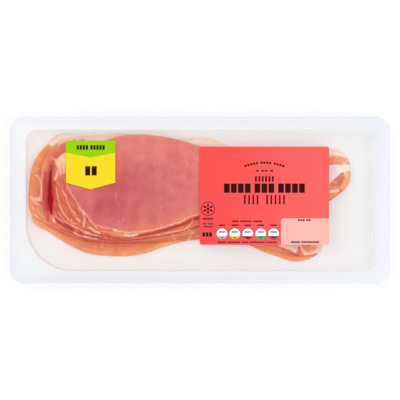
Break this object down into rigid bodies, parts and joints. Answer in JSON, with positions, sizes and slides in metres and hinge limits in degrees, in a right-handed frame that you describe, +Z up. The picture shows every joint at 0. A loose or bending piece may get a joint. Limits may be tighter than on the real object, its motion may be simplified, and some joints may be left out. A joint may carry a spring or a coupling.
{
  "type": "bacon pack",
  "caption": "Flat sealed pack of sliced back bacon: clear formed tray with a wide flange, clear lid film, overlapping rashers, a plain red label and a pointed sticker.",
  "frame": {"origin": "middle of the flange's rectangle, on the surface that the pack lies on", "axes": "+X along the pack, from the lean eyes of the rashers to their streaky tails; +Y across the pack, towards the back fat; +Z up through the lid film"},
  "size_m": [0.27, 0.1186, 0.017],
  "materials": {
    "clear_tray": "clear thermoformed polyester sheet, gloss",
    "clear_film": "clear lidding film, gloss",
    "bacon": "wet cured pork, lean with fat",
    "red_label": "satin printed label",
    "yellow_sticker": "satin printed sticker"
  },
  "bodies": {
    "root": {"tray": "clear_tray", "rasher_1": "bacon", "rasher_2": "bacon", "rasher_3": "bacon", "rasher_4": "bacon", "rasher_5": "bacon", "lid_film": "clear_film", "label": "red_label", "pointed_sticker": "yellow_sticker"}
  },
  "joints": []
}
